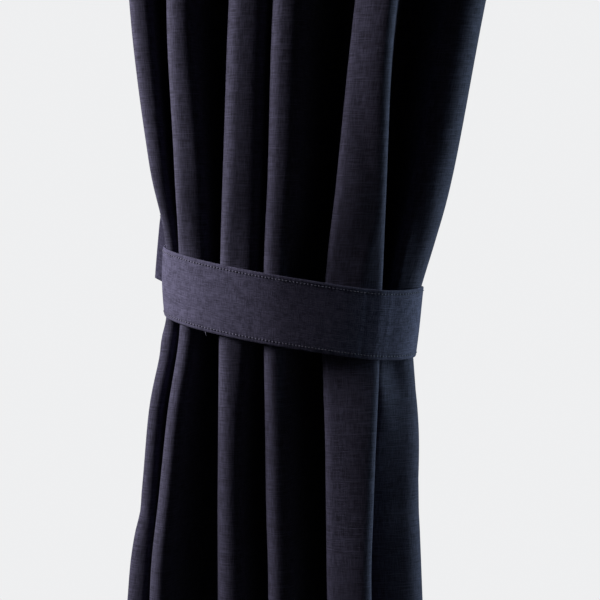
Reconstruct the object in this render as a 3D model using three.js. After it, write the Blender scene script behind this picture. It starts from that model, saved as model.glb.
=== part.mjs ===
// A full-length curtain panel hung in deep folds and drawn in at the waist by a stitched band tieback.
// Millimetres, +Z up. X runs along the top edge from the outer side to the leading edge, +Y points to the
// back of the cloth, and the origin is the middle of the top edge.
import * as THREE from "three";

const { clamp, degToRad, smoothstep } = THREE.MathUtils;

// Cloth sizes; the cloth beyond the first and last fold is turned back at the two side edges
const CLOTH_LENGTH = 2500;
const CLOTH_THICKNESS = 2;
const LEFT_END_CLOTH = 72;
const RIGHT_END_CLOTH = 89;
const RIGHT_END_TURN = degToRad(104);

// Where the middle of the waist hangs, seen from the middle of the top edge
const WAIST_SHIFT_X = -112;
const FRONT_SHIFT_Y = -52;
const WAIST_DROP = 1459;
const WAIST_REACH = 220;

// Tieback sizes: an oval ring that rises to the left, lifts at its right end and twists down behind it.
// On the left its long edges cup in round the folds, and on the right it tapers towards its foot.
// Its front-most point, the apex, lies left of the waist's middle.
const BAND_HEIGHT = 72;
const BAND_THICKNESS = 3;
const BAND_GAP = 0.95;
const BAND_RISE_LEFT = 0.165;
const BAND_TWIST = 0.00055;
const BAND_END_LIFT = 10.5;
const BAND_END_START = 20;
const RING = { apex: -10, left: 126.5, cup: 1.5, right: 141.2, taper: 4.4, depth: 69, middleY: 67 };
const RING_POWER = { left: 1.85, right: 2.5, back: 4 };

// The band's two ends run on straight, one along the side and one along the back, and meet in the corner.
// The one behind rises, and its last stretch bends away from the folds.
const FREE_END_X = -152;
const FREE_END_SLANT = 3.5;
const FREE_END_LIFT = 23;
const FREE_END_LIFT_POWER = 1.4;
const FREE_END_BEND = { x: -119, reach: 32, back: 6 };
const END_CLEARANCE = 1;

// Distances below the top edge at which the fold tables are stated
const STATION_DROP = {
  heading: 0, upper: 600, shoulder: 1160, gather: 1330, band_top: 1427, band_foot: 1488,
  skirt: 1585, knee: 1662, fall: 1740, hem: CLOTH_LENGTH,
};
const DROPS = Object.values(STATION_DROP);
const BAND_TOP = 4;
const BAND_FOOT = 5;
const SEAT_LEVEL = { [BAND_TOP]: 1, [BAND_FOOT]: -1 };

// One row for each fold, from the outer side to the leading edge.
// cloth_to_next: cloth from this fold's nose to the next one; lean: degrees the hollow after it leans;
// turn_left and turn_right: radius of the nose on each side; tied: share of those radii left at the waist.
const FOLDS = [
  { name: "outer", cloth_to_next: 186, lean: 8, turn_left: 10, turn_right: 7, tied: 0.5 },
  { name: "second", cloth_to_next: 234, lean: 12, turn_left: 12, turn_right: 10, tied: 0.75 },
  { name: "third", cloth_to_next: 274, lean: 12, turn_left: 13, turn_right: 13, tied: 0.8 },
  { name: "fourth", cloth_to_next: 283, lean: 12, turn_left: 10, turn_right: 16, tied: 0.8 },
  { name: "broad", cloth_to_next: 262, lean: -6, turn_left: 9, turn_right: 8, tied: 0.7 },
  { name: "leading", cloth_to_next: 0, lean: 0, turn_left: 9, turn_right: 25, tied: 0.82 },
];

// X of each fold's left edge at each station, from the middle of the waist; the last row is the right edge
const EDGE_X = {
  //        heading upper shoulder gather band_top band_foot skirt knee  fall  hem
  outer:   [-205,  -192,  -164,   -146,   -132,    -132,     -149, -157, -170, -213],
  second:  [-112,  -118,  -126,   -119.5, -117,    -116,     -129, -138, -147, -170],
  third:   [  -2,   -30,   -63.5,  -70,    -73.5,   -75,      -76,  -77,  -77,  -88],
  fourth:  [ 100,    40,   -19.5,  -25,    -29,     -29,      -28,  -27,  -25,  -26],
  broad:   [ 212,   142,    60.5,   43,     32.5,    30,       33,   34,   35,   48],
  leading: [ 425,   312,   192.5,  160,    131,     123,      130,  131,  134,  172],
};

// How far each fold's nose stands back from the front plane; at the waist the band seats it
const NOSE_BACK = {
  //        heading upper shoulder gather band_top band_foot skirt knee  fall  hem
  outer:   [   4,    14,    24,    30,     0,       0,       30,   26,   22,   10],
  second:  [  -4,     2,    10,    13,     0,       0,       13,   11,    8,   -3],
  third:   [   3,     2,    -3,    -1,     0,       0,        3,    2,    0,    4],
  fourth:  [  -2,    -6,   -11,    -7,     0,       0,        0,   -3,   -6,   -4],
  broad:   [   2,    -9,   -15,    -9,     0,       0,       -4,   -6,   -8,    3],
  leading: [   0,    10,    24,    28,     0,       0,       22,   20,   18,    8],
};

// Cloth in the slow curve across each nose, its face
const FACE_CLOTH = {
  //        heading upper shoulder gather band_top band_foot skirt knee  fall  hem
  outer:   [   8,     8,     8,     6,     4,       4,        3,    2,    7,    8],
  second:  [  11,    11,     8,    14,    17,       3,        1,    1,    1,    8],
  third:   [  18,    18,    15,    17,    20,      15,        5,    3,    4,   14],
  fourth:  [  12,    12,    10,     9,     8,       6,        4,    3,    3,   10],
  broad:   [  27,    26,    27.5,  38,    48.5,    48,       39,   34.5, 31,   32],
  leading: [  14,    14,    14,    14,    12,      24,       32,   33,   30,   16],
};

// Degrees that the middle of each face turns to the right, and degrees that it turns from end to end;
// one number stands for every station
const FACE_TURN = {
  //        heading upper shoulder gather band_top band_foot skirt knee  fall  hem
  outer:   [  -6,    -6,    -8,   -15,   -22,     -15,      -10,   -6,   -9,   -6],
  second:  [  -7,    -7,    -6,    -9,   -11,      -4,       -3,   -3,   -3,   -7],
  third:   [  -1,    -1,    -1,    -1,    -4,      -2,       -1,   -1,   -1,   -1],
  fourth: -2,
  broad:   [   0,    -6,   -14,     0,     4,       4,       -2,   -6,   -9,    0],
  leading: [   0,     0,     0,     4,    12,      24,       22,   10,    8,    4],
};
const FACE_BOW = {
  outer: 12,
  second: 14,
  third: 10,
  fourth: 12,
  //        heading upper shoulder gather band_top band_foot skirt knee  fall  hem
  broad:   [  14,    18,    25,    24,    25,      18,       20,   22,   22,   14],
  leading: 10,
};

// How far the tie draws each nose in, the radius of the hollows between the noses, and the degrees that the
// cloth at the outer edge is turned back
//                   heading upper shoulder gather band_top band_foot skirt knee  fall  hem
const TIE_PULL =      [   0,     0,     0,   0.5,     1,       1,      0.5,  0.2,    0,    0];
const HOLLOW_TURN =   [  14,    11,     8,     6,     4,       4,        6,    7,    8,   12];
const LEFT_END_TURN = [  99,    99,    99,    95,    91,      91,       94,   97,   99,   99];

// Mesh steps, how steeply a table leaves its two ends, and how a hollow's flank angle is searched for
const ROWS_ABOVE_WAIST = 14;
const ROWS_BELOW_WAIST = 14;
const ROW_CROWDING = 2;
const STEPS = { turn: 4, endTurn: 5, hollow: 2, flank: 2, face: 1, broadFace: 2, edge: 2 };
const BAND_LEVELS = [1, 0.5, 0, -0.5, -1];
const BAND_STEPS = { quarter: 28, side: 6, tail: 10 };
const SEAT_STEPS = 12;
const END_SLOPE_SHARE = 0.6;
const FLANK_SEARCH = { flattest: 0.3, steepest: 2.3, halvings: 50 };

// Smooth interpolation that never overshoots its table
const chordSlope = (values, i) => (values[i + 1] - values[i]) / (DROPS[i + 1] - DROPS[i]);

function slopeAt(values, i) {
  const last = values.length - 1;
  if (i === 0 || i === last) {
    return END_SLOPE_SHARE * chordSlope(values, Math.min(i, last - 1));
  }
  const before = chordSlope(values, i - 1);
  const after = chordSlope(values, i);
  return before * after <= 0 ? 0 : (2 * before * after) / (before + after);
}

function atDrop(values, drop) {
  const passed = DROPS.filter((station) => station <= drop).length;
  const i = clamp(passed - 1, 0, DROPS.length - 2);
  const span = DROPS[i + 1] - DROPS[i];
  const t = clamp((drop - DROPS[i]) / span, 0, 1);
  const pull = (1 - t) * (slopeAt(values, i) - chordSlope(values, i))
    - t * (slopeAt(values, i + 1) - chordSlope(values, i));
  return values[i] + (values[i + 1] - values[i]) * t + t * (1 - t) * span * pull;
}

// Height of the band's middle line above the waist
function bandRise(x, y) {
  const towardsRight = Math.max(0, x - BAND_END_START) / (RING.apex + RING.right - BAND_END_START);
  return BAND_END_LIFT * towardsRight ** 4 - BAND_RISE_LEFT * x - BAND_TWIST * x * y;
}

// The band's inner face on each side of its apex: its half width at one height within the band, +1 at its top
// and -1 at its foot, and how square its front is
const ringHalf = (side, level) => (
  side < 0 ? RING.left - RING.cup * level ** 2 : RING.right + RING.taper * level
);
const frontPower = (side) => (side < 0 ? RING_POWER.left : RING_POWER.right);

function ringFrontY(x, level) {
  const side = x - RING.apex;
  const power = frontPower(side);
  const share = Math.min(1, Math.abs(side) / ringHalf(side, level));
  return RING.middleY - RING.depth * (1 - share ** power) ** (1 / power);
}

// Point of the band's inner face where the walk round it has a given heading
function ringPoint(heading, level) {
  const across = Math.sin(heading);
  const forward = Math.cos(heading);
  const half = ringHalf(across, level);
  const power = forward < 0 ? RING_POWER.back : frontPower(across);
  const outX = Math.abs(half * across) ** (1 / (power - 1));
  const outY = Math.abs(RING.depth * forward) ** (1 / (power - 1));
  const size = (outX ** power + outY ** power) ** (1 / power);
  return {
    x: RING.apex + (Math.sign(across) * half * outX) / size,
    y: RING.middleY - (Math.sign(forward) * RING.depth * outY) / size,
  };
}

// Way from the left end of a nose's face to the point of the nose with a given heading. A nose is an arc on
// the left, the slow curve of its face and an arc on the right.
function nosePoint(heading, { start, end, face, turnLeft, turnRight }) {
  const slow = face / (end - start);
  const before = Math.min(heading, start);
  const within = clamp(heading, start, end);
  const after = Math.max(heading, end);
  return {
    x: turnLeft * (Math.sin(before) - Math.sin(start)) + slow * (Math.sin(within) - Math.sin(start))
      + turnRight * (Math.sin(after) - Math.sin(end)),
    y: turnLeft * (Math.cos(start) - Math.cos(before)) + slow * (Math.cos(start) - Math.cos(within))
      + turnRight * (Math.cos(end) - Math.cos(after)),
  };
}

// Y that seats a nose just inside the band
function seatedNose(nose, faceX, level) {
  const clear = CLOTH_THICKNESS / 2 + BAND_GAP;
  let seat = -Infinity;
  for (let k = -SEAT_STEPS; k <= SEAT_STEPS; k += 1) {
    const way = nosePoint(((k / SEAT_STEPS) * Math.PI) / 2, nose);
    const x = faceX + way.x;
    const clearX = x + Math.sign(x - RING.apex) * clear;
    seat = Math.max(seat, ringFrontY(clearX, level) + clear - way.y);
  }
  return seat;
}

// The tables of each fold with the band's seats filled in; x and y are the left end of the nose's face
const atEveryStation = (value) => (Array.isArray(value) ? value : DROPS.map(() => value));

const foldTables = FOLDS.map((fold) => {
  const edge = EDGE_X[fold.name];
  const turned = atEveryStation(FACE_TURN[fold.name]);
  const bow = atEveryStation(FACE_BOW[fold.name]);
  const noses = DROPS.map((_, s) => {
    const share = 1 - (1 - fold.tied) * TIE_PULL[s];
    return {
      start: degToRad(turned[s] - bow[s] / 2),
      end: degToRad(turned[s] + bow[s] / 2),
      face: FACE_CLOTH[fold.name][s],
      turnLeft: fold.turn_left * share,
      turnRight: fold.turn_right * share,
    };
  });
  const edgeHeading = fold.name === "leading" ? Math.PI / 2 : -Math.PI / 2;
  const x = noses.map((nose, s) => edge[s] - nosePoint(edgeHeading, nose).x);
  const y = [...NOSE_BACK[fold.name]];
  for (const s of [BAND_TOP, BAND_FOOT]) {
    y[s] = seatedNose(noses[s], x[s], SEAT_LEVEL[s]);
  }
  const tables = { x, y, hollow: HOLLOW_TURN, endTurn: LEFT_END_TURN.map((turn) => degToRad(turn)) };
  for (const size of Object.keys(noses[0])) {
    tables[size] = noses.map((nose) => nose[size]);
  }
  const waistX = (edge[BAND_TOP] + edge[BAND_FOOT]) / 2;
  const waistY = (y[BAND_TOP] + y[BAND_FOOT]) / 2;
  return {
    name: fold.name,
    lean: degToRad(fold.lean),
    cloth: fold.cloth_to_next,
    waistRise: bandRise(waistX, waistY),
    tables,
  };
});

// A fold's sizes at one height; the slanted band sets each fold's waist a little higher or lower
function foldAt({ tables, waistRise, ...fold }, drop) {
  const nearWaist = Math.exp(-(((drop - WAIST_DROP) / WAIST_REACH) ** 2));
  const sizes = { ...fold };
  for (const [size, values] of Object.entries(tables)) {
    sizes[size] = atDrop(values, drop + waistRise * nearWaist);
  }
  return sizes;
}

// Flank angles and lengths that carry the cloth from one nose to the next with its full length
function hollowBetween(fold, next) {
  const faceEnd = nosePoint(fold.end, fold);
  const spanX = next.x - fold.x - faceEnd.x;
  const spanY = next.y - fold.y - faceEnd.y;
  const solve = (angle) => {
    const out = angle - fold.lean;
    const back = angle + fold.lean;
    const turns = fold.turnRight * (out - fold.end) + fold.hollow * (out + back)
      + next.turnLeft * (back + next.start);
    const straight = fold.cloth - fold.face - turns;
    const turnsY = fold.turnRight * (Math.cos(fold.end) - Math.cos(out))
      + fold.hollow * (Math.cos(back) - Math.cos(out))
      + next.turnLeft * (Math.cos(back) - Math.cos(next.start));
    const turnsX = fold.turnRight * (Math.sin(out) - Math.sin(fold.end))
      + fold.hollow * (Math.sin(out) + Math.sin(back))
      + next.turnLeft * (Math.sin(back) + Math.sin(next.start));
    const first = (spanY - turnsY + straight * Math.sin(back)) / (Math.sin(out) + Math.sin(back));
    const second = straight - first;
    return { out, back, first, second, reach: turnsX + first * Math.cos(out) + second * Math.cos(back) };
  };
  let low = FLANK_SEARCH.flattest;
  let high = FLANK_SEARCH.steepest;
  for (let k = 0; k < FLANK_SEARCH.halvings; k += 1) {
    const middle = (low + high) / 2;
    if (solve(middle).reach > spanX) {
      low = middle;
    } else {
      high = middle;
    }
  }
  return solve(low);
}

// A walk along the cloth's section that notes each point and the way it faces
class SectionWalk {
  constructor(x, y, heading) {
    this.points = [];
    this.x = x;
    this.y = y;
    this.heading = heading;
    this.note();
  }

  note() {
    this.points.push({ x: this.x, y: this.y, nx: Math.sin(this.heading), ny: -Math.cos(this.heading) });
  }

  straight(length, steps) {
    for (let k = 0; k < steps; k += 1) {
      this.x += (Math.cos(this.heading) * length) / steps;
      this.y += (Math.sin(this.heading) * length) / steps;
      this.note();
    }
  }

  turn(angle, radius, steps) {
    const side = Math.sign(angle);
    for (let k = 0; k < steps; k += 1) {
      const next = this.heading + angle / steps;
      this.x += side * radius * (Math.sin(next) - Math.sin(this.heading));
      this.y -= side * radius * (Math.cos(next) - Math.cos(this.heading));
      this.heading = next;
      this.note();
    }
  }

  face({ name, start, end, face }) {
    this.turn(end - start, face / (end - start), name === "broad" ? STEPS.broadFace : STEPS.face);
  }
}

function sectionAt(drop) {
  const folds = foldTables.map((table) => foldAt(table, drop));
  const first = folds[0];
  const last = folds[folds.length - 1];
  const endBend = first.endTurn + first.start;
  const endLength = LEFT_END_CLOTH - first.turnLeft * endBend;
  const endWay = nosePoint(-first.endTurn, first);
  const walk = new SectionWalk(
    first.x + endWay.x - endLength * Math.cos(first.endTurn),
    first.y + endWay.y + endLength * Math.sin(first.endTurn),
    -first.endTurn,
  );
  walk.straight(endLength, STEPS.edge);
  walk.turn(endBend, first.turnLeft, STEPS.turn);
  for (let i = 0; i < folds.length - 1; i += 1) {
    const fold = folds[i];
    const next = folds[i + 1];
    const hollow = hollowBetween(fold, next);
    walk.face(fold);
    walk.turn(hollow.out - fold.end, fold.turnRight, STEPS.turn);
    walk.straight(hollow.first, STEPS.flank);
    walk.turn(-hollow.out, fold.hollow, STEPS.hollow);
    walk.turn(-hollow.back, fold.hollow, STEPS.hollow);
    walk.straight(hollow.second, STEPS.flank);
    walk.turn(hollow.back + next.start, next.turnLeft, STEPS.turn);
  }
  const lastBend = RIGHT_END_TURN - last.end;
  walk.face(last);
  walk.turn(lastBend, last.turnRight, STEPS.endTurn);
  walk.straight(RIGHT_END_CLOTH - last.face - last.turnRight * lastBend, STEPS.edge);
  return walk.points;
}

// Rows crowd towards the waist, where the folds change fastest
function rowDrops() {
  const drops = [];
  for (let k = -ROWS_ABOVE_WAIST; k <= ROWS_BELOW_WAIST; k += 1) {
    const reach = k < 0 ? WAIST_DROP : CLOTH_LENGTH - WAIST_DROP;
    const count = k < 0 ? ROWS_ABOVE_WAIST : ROWS_BELOW_WAIST;
    drops.push(WAIST_DROP + Math.sign(k) * reach * (Math.abs(k) / count) ** ROW_CROWDING);
  }
  return drops;
}

// The cloth keeps its length: threads drawn aside by the tie end higher up at the hem
function panelRows() {
  const drops = rowDrops();
  const rows = drops.map((drop) => sectionAt(drop));
  const slack = rows[0].map((_, c) => {
    let sum = 0;
    for (let r = 1; r < rows.length; r += 1) {
      const aside = Math.hypot(rows[r][c].x - rows[r - 1][c].x, rows[r][c].y - rows[r - 1][c].y);
      sum += aside ** 2 / (2 * (drops[r] - drops[r - 1]));
    }
    return sum;
  });
  return rows.map((row, r) => {
    const share = smoothstep(drops[r], WAIST_DROP, CLOTH_LENGTH);
    return row.map((p, c) => ({ ...p, z: slack[c] * share - drops[r] }));
  });
}

// One line along the band, from the end at the side to the free end behind; level is +1 at its top edge
function bandRow(level) {
  const outward = BAND_THICKNESS / 2;
  const backY = RING.middleY + RING.depth + outward;
  const sideX = RING.apex - ringHalf(-1, level) - outward;
  const points = [];
  const add = (x, y, heading, lift) => {
    const z = lift - WAIST_DROP + bandRise(x, y) + (level * BAND_HEIGHT) / 2;
    points.push({ x, y, z, nx: Math.sin(heading), ny: -Math.cos(heading) });
  };
  const sideEndY = backY - outward - END_CLEARANCE;
  for (let k = 0; k < BAND_STEPS.side; k += 1) {
    add(sideX, sideEndY + ((RING.middleY - sideEndY) * k) / BAND_STEPS.side, -Math.PI / 2, 0);
  }
  for (let k = 0; k <= 3 * BAND_STEPS.quarter; k += 1) {
    const heading = (Math.PI / 2) * (k / BAND_STEPS.quarter - 1);
    const { x, y } = ringPoint(heading, level);
    add(x + Math.sin(heading) * outward, y - Math.cos(heading) * outward, heading, 0);
  }
  const freeEndX = FREE_END_X + FREE_END_SLANT * (1 + level);
  for (let k = 1; k <= BAND_STEPS.tail; k += 1) {
    const along = k / BAND_STEPS.tail;
    const x = RING.apex + (freeEndX - RING.apex) * along;
    const bent = Math.max(0, FREE_END_BEND.x - x) / FREE_END_BEND.reach;
    const slope = (2 * FREE_END_BEND.back * bent) / FREE_END_BEND.reach;
    const lift = FREE_END_LIFT * along ** FREE_END_LIFT_POWER;
    add(x, backY + FREE_END_BEND.back * bent ** 2, Math.PI - Math.atan(slope), lift);
  }
  return points;
}

// A thin closed sheet from rows of points that each know the way the sheet faces
function sheetGeometry(rows, thickness) {
  const columns = rows[0].length;
  const positions = [];
  for (const side of [1, -1]) {
    for (const row of rows) {
      for (const p of row) {
        const out = (side * thickness) / 2;
        positions.push(p.x + p.nx * out, p.y + p.ny * out, p.z);
      }
    }
  }
  const backStart = rows.length * columns;
  const front = (r, c) => r * columns + c;
  const back = (r, c) => backStart + front(r, c);
  const index = [];
  const quad = (a, b, c, d) => index.push(a, b, c, a, c, d);
  const end = columns - 1;
  const foot = rows.length - 1;
  for (let r = 0; r < foot; r += 1) {
    for (let c = 0; c < end; c += 1) {
      quad(front(r, c), front(r + 1, c), front(r + 1, c + 1), front(r, c + 1));
      quad(back(r, c), back(r, c + 1), back(r + 1, c + 1), back(r + 1, c));
    }
    quad(front(r, 0), back(r, 0), back(r + 1, 0), front(r + 1, 0));
    quad(front(r, end), front(r + 1, end), back(r + 1, end), back(r, end));
  }
  for (let c = 0; c < end; c += 1) {
    quad(front(0, c), front(0, c + 1), back(0, c + 1), back(0, c));
    quad(front(foot, c), back(foot, c), back(foot, c + 1), front(foot, c + 1));
  }
  const geometry = new THREE.BufferGeometry();
  geometry.setAttribute("position", new THREE.Float32BufferAttribute(positions, 3));
  geometry.setIndex(index);
  return geometry;
}

const panelCloth = new THREE.MeshStandardMaterial({ color: 0x32303e, roughness: 0.9, metalness: 0 });
const panel = new THREE.Mesh(sheetGeometry(panelRows(), CLOTH_THICKNESS), panelCloth);
panel.name = "curtain_panel";

const bandCloth = new THREE.MeshStandardMaterial({ color: 0x3a3848, roughness: 0.85, metalness: 0 });
const bandRows = BAND_LEVELS.map((level) => bandRow(level));
const band = new THREE.Mesh(sheetGeometry(bandRows, BAND_THICKNESS), bandCloth);
band.name = "tieback_band";

const hung = new THREE.Group();
hung.position.set(WAIST_SHIFT_X, FRONT_SHIFT_Y, 0);
hung.add(panel, band);

const part = new THREE.Group();
part.add(hung);

export default part;
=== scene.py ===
# %% [markdown]
# # A curtain drawn in by a band tieback
#
# This lesson dresses one curtain panel and its tieback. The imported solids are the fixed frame: they say
# where the cloth hangs, how deep its folds are and where the band sits. Here both pieces get their fine
# shape, their stitching and their woven finish. Blender works in metres, and the origin is the middle of
# the top edge.

# %% Load the frame
from types import SimpleNamespace as Named

import bpy
import numpy as np
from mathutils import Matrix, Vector


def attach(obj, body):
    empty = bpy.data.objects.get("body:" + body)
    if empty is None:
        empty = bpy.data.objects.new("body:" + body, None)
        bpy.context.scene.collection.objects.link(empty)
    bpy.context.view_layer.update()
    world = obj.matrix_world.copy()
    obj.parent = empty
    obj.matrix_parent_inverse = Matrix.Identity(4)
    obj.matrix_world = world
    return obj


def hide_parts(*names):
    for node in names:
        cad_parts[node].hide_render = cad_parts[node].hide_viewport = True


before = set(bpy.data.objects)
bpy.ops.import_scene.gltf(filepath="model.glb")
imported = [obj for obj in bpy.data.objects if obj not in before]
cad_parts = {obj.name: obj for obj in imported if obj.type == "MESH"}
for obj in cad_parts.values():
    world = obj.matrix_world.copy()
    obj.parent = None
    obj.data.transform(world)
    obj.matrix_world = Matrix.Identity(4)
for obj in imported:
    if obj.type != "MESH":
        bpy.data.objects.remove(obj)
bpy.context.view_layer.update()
# One millimetre in Blender's metres
MM = 0.001


# %% [markdown]
# ## Camera
#
# The view faces the folds from a little above the band, through a long lens, so the tall folds stay nearly
# parallel. The camera comes first, because every later choice is judged through it.

# %% Camera
EYE = Vector((-105, -1552, -1310)) * MM
AIM = Vector((-105, -52, -1446)) * MM
LENS_LENGTH = 90

bpy.ops.object.select_all(action="DESELECT")
bpy.ops.object.camera_add(location=EYE, rotation=(AIM - EYE).to_track_quat("-Z", "Y").to_euler())
camera = bpy.context.object
camera.name = "view_camera"
camera.data.lens = LENS_LENGTH
bpy.context.scene.camera = camera
print("camera", round((AIM - EYE).length, 3), "m from the band")

# %% [markdown]
# ## Sizes of the cloth and the band
#
# A panel like this is cut as a plain rectangle, and its tieback is a straight strap. The solids were made
# from the same sizes, so cloth and band meet where theirs do. Shapes are worked out in millimetres, with X
# and Y from the middle of the tied waist, and each piece is moved into the frame once it is shaped.

# %% Cut sizes
CLOTH_WIDTH = 1400
CLOTH_LENGTH = 2500
BAND_HEIGHT = 72
WAIST_DROP = 1459
print("cloth", CLOTH_WIDTH, "x", CLOTH_LENGTH, "mm, tied", WAIST_DROP, "mm below its top edge")

# %% [markdown]
# ## Fold rows
#
# Gathered cloth hangs in noses, the round parts that face forward, with hollows between them. Each fold is
# one row: how much cloth runs from its nose to the next, how far the hollow leans, the radius of its turn
# on each side of the nose, and the share of that radius that the tie leaves. A simulation could find such
# folds, but it would not find these ones, so they are listed one by one.

# %% Fold rows
LEFT_END_CLOTH = 72


def fold_row(name, cloth_to_next, lean, turn_left, turn_right, tied):
    return Named(name=name, cloth=cloth_to_next, lean=np.radians(lean),
                 turn_left=turn_left, turn_right=turn_right, tied=tied)


FOLDS = [
    fold_row("outer", cloth_to_next=186, lean=8, turn_left=10, turn_right=7, tied=0.5),
    fold_row("second", cloth_to_next=234, lean=12, turn_left=12, turn_right=10, tied=0.75),
    fold_row("third", cloth_to_next=274, lean=12, turn_left=13, turn_right=13, tied=0.8),
    fold_row("fourth", cloth_to_next=283, lean=12, turn_left=10, turn_right=16, tied=0.8),
    fold_row("broad", cloth_to_next=262, lean=-6, turn_left=9, turn_right=8, tied=0.7),
    fold_row("leading", cloth_to_next=0, lean=0, turn_left=9, turn_right=25, tied=0.82),
]
nose_places = LEFT_END_CLOTH + np.cumsum([0] + [f.cloth for f in FOLDS[:-1]])
nose_cloth = dict(zip([f.name for f in FOLDS], nose_places.tolist()))
print("cloth from the outer edge to each nose", nose_cloth)

# %% [markdown]
# ## Where each nose hangs
#
# The next tables have one column for each of ten drops, the distances down from the top edge. Most of them
# lie near the waist, where the tie changes the folds fastest. Curves drawn by hand would serve as well,
# but numbers are easier to mend.

# %% Places of the noses
DROPS = np.array([0, 600, 1160, 1330, 1427, 1488, 1585, 1662, 1740, CLOTH_LENGTH], float)

# X of each fold's left edge from the middle of the waist; the last row is the right edge
EDGE_X = {
    # drop         0   600   1160    1330   1427  1488  1585  1662  1740   hem
    "outer":   [-205, -192,  -164,   -146,  -132, -132, -149, -157, -170, -213],
    "second":  [-112, -118,  -126, -119.5,  -117, -116, -129, -138, -147, -170],
    "third":   [  -2,  -30, -63.5,    -70, -73.5,  -75,  -76,  -77,  -77,  -88],
    "fourth":  [ 100,   40, -19.5,    -25,   -29,  -29,  -28,  -27,  -25,  -26],
    "broad":   [ 212,  142,  60.5,     43,  32.5,   30,   33,   34,   35,   48],
    "leading": [ 425,  312, 192.5,    160,   131,  123,  130,  131,  134,  172],
}

# How far each nose stands back from the front plane; at the waist the band seats it instead
NOSE_BACK = {
    # drop       0  600  1160  1330  1427  1488  1585  1662  1740  hem
    "outer":   [ 4,  14,   24,   30,    0,    0,   30,   26,   22,  10],
    "second":  [-4,   2,   10,   13,    0,    0,   13,   11,    8,  -3],
    "third":   [ 3,   2,   -3,   -1,    0,    0,    3,    2,    0,   4],
    "fourth":  [-2,  -6,  -11,   -7,    0,    0,    0,   -3,   -6,  -4],
    "broad":   [ 2,  -9,  -15,   -9,    0,    0,   -4,   -6,   -8,   3],
    "leading": [ 0,  10,   24,   28,    0,    0,   22,   20,   18,   8],
}
print("gathered width", EDGE_X["leading"][0] - EDGE_X["outer"][0], "mm at the top edge")

# %% [markdown]
# ## How each nose is rounded
#
# A nose has a slow curve across its front, its face, between two tighter turns. The broad fold has a wide
# flat face and the outer fold is nearly a plain roll, so no two folds look alike.

# %% Faces of the noses
# Cloth in each face
FACE_CLOTH = {
    # drop       0  600  1160  1330  1427  1488  1585  1662  1740  hem
    "outer":   [ 8,   8,    8,    6,    4,    4,    3,    2,    7,   8],
    "second":  [11,  11,    8,   14,   17,    3,    1,    1,    1,   8],
    "third":   [18,  18,   15,   17,   20,   15,    5,    3,    4,  14],
    "fourth":  [12,  12,   10,    9,    8,    6,    4,    3,    3,  10],
    "broad":   [27,  26, 27.5,   38, 48.5,   48,   39, 34.5,   31,  32],
    "leading": [14,  14,   14,   14,   12,   24,   32,   33,   30,  16],
}

# Degrees by which the middle of each face turns to the right; one number stands for all drops
FACE_TURN = {
    # drop       0  600  1160  1330  1427  1488  1585  1662  1740  hem
    "outer":   [-6,  -6,   -8,  -15,  -22,  -15,  -10,   -6,   -9,  -6],
    "second":  [-7,  -7,   -6,   -9,  -11,   -4,   -3,   -3,   -3,  -7],
    "third":   [-1,  -1,   -1,   -1,   -4,   -2,   -1,   -1,   -1,  -1],
    "fourth":  -2,
    "broad":   [ 0,  -6,  -14,    0,    4,    4,   -2,   -6,   -9,   0],
    "leading": [ 0,   0,    0,    4,   12,   24,   22,   10,    8,   4],
}

# Degrees by which each face turns from end to end
FACE_BOW = {
    "outer": 12, "second": 14, "third": 10, "fourth": 12, "leading": 10,
    # drop       0  600  1160  1330  1427  1488  1585  1662  1740  hem
    "broad":   [14,  18,   25,   24,   25,   18,   20,   22,   22,  14],
}
print("widest face", max(FACE_CLOTH["broad"]), "mm of cloth")

# %% [markdown]
# ## What the tie and the edges do
#
# The tie draws every turn tighter, most of all at the two drops where the band's edges lie, and the
# hollows behind the noses tighten with it. The last row gives the degrees by which the cloth's outer edge
# is turned back.

# %% Pull of the tie
# One value for each drop
TIE_PULL = [0, 0, 0, 0.5, 1, 1, 0.5, 0.2, 0, 0]
HOLLOW_TURN = [14, 11, 8, 6, 4, 4, 6, 7, 8, 12]
LEFT_END_TURN = [99, 99, 99, 95, 91, 91, 94, 97, 99, 99]
print("hollows have radii of", min(HOLLOW_TURN), "to", max(HOLLOW_TURN), "mm")

# %% [markdown]
# ## Between the stated drops
#
# A curve through a table must not swing past its values, or folds would bulge where none do. Straight
# lines would not, but they would leave kinks. This curve takes a mean of the slopes before and after each
# drop that leans to the gentler one, and no slope where the values turn back, so it never leaves the range
# of the two values around it.

# %% Smooth tables
# Slope at the top edge and the hem, as a share of the table's slope there
END_SLOPE_SHARE = 0.6


def at_drop(values, drop):
    """A table's value at any drop."""
    values = np.asarray(values, float)
    chords = np.diff(values) / np.diff(DROPS)
    before, after = chords[:-1], chords[1:]
    same_way = before * after > 0
    inner = np.where(same_way, 2 * before * after / np.where(same_way, before + after, 1), 0)
    slopes = np.concatenate([[END_SLOPE_SHARE * chords[0]], inner, [END_SLOPE_SHARE * chords[-1]]])
    i = np.clip(np.searchsorted(DROPS, drop, side="right") - 1, 0, len(DROPS) - 2)
    span = DROPS[i + 1] - DROPS[i]
    t = np.clip((drop - DROPS[i]) / span, 0, 1)
    pull = (1 - t) * (slopes[i] - chords[i]) - t * (slopes[i + 1] - chords[i])
    return values[i] + (values[i + 1] - values[i]) * t + t * (1 - t) * span * pull


print("outer fold's left edge at the waist", round(float(at_drop(EDGE_X["outer"], WAIST_DROP))), "mm")

# %% [markdown]
# ## The band's ring
#
# The tieback is bent into an oval ring that rises to the left and twists down behind on the right. The
# ring's front-most point lies left of its middle. It is squarer on the right than on the left and squarest
# behind. Its left side is slightly cupped, and its right side tapers towards the foot. A plain ellipse
# would be simpler, but it would not hug these folds.

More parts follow.
